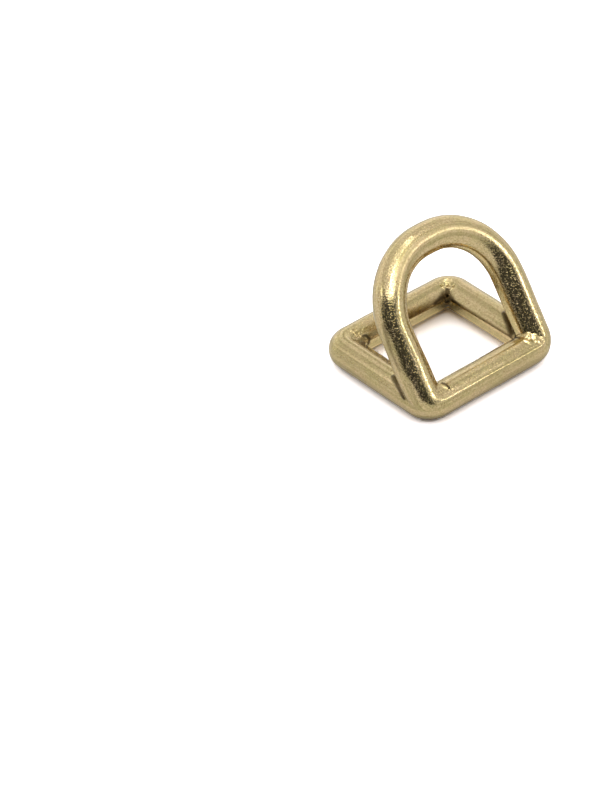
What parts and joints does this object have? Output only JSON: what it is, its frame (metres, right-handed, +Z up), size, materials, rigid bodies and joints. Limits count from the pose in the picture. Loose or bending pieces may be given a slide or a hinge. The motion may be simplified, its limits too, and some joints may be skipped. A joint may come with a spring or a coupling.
{
  "type": "d ring with strap loop",
  "caption": "One-piece cast brass ring: a flat rectangular strap loop whose front bar also carries a D-shaped eye leaning back over the loop's hole.",
  "frame": {"origin": "on the surface that the strap loop lies on, below the middle of the loop's outline", "axes": "+X along the bar that the loop and the D share, +Y from that bar to the loop's back bar, +Z up from the surface"},
  "size_m": [0.025, 0.0226, 0.0212],
  "materials": {
    "brass": "polished cast brass, tumbled smooth on the outside and left slightly rough and darker in the inner corners"
  },
  "bodies": {
    "root": {"d_ring": "brass"}
  },
  "joints": []
}
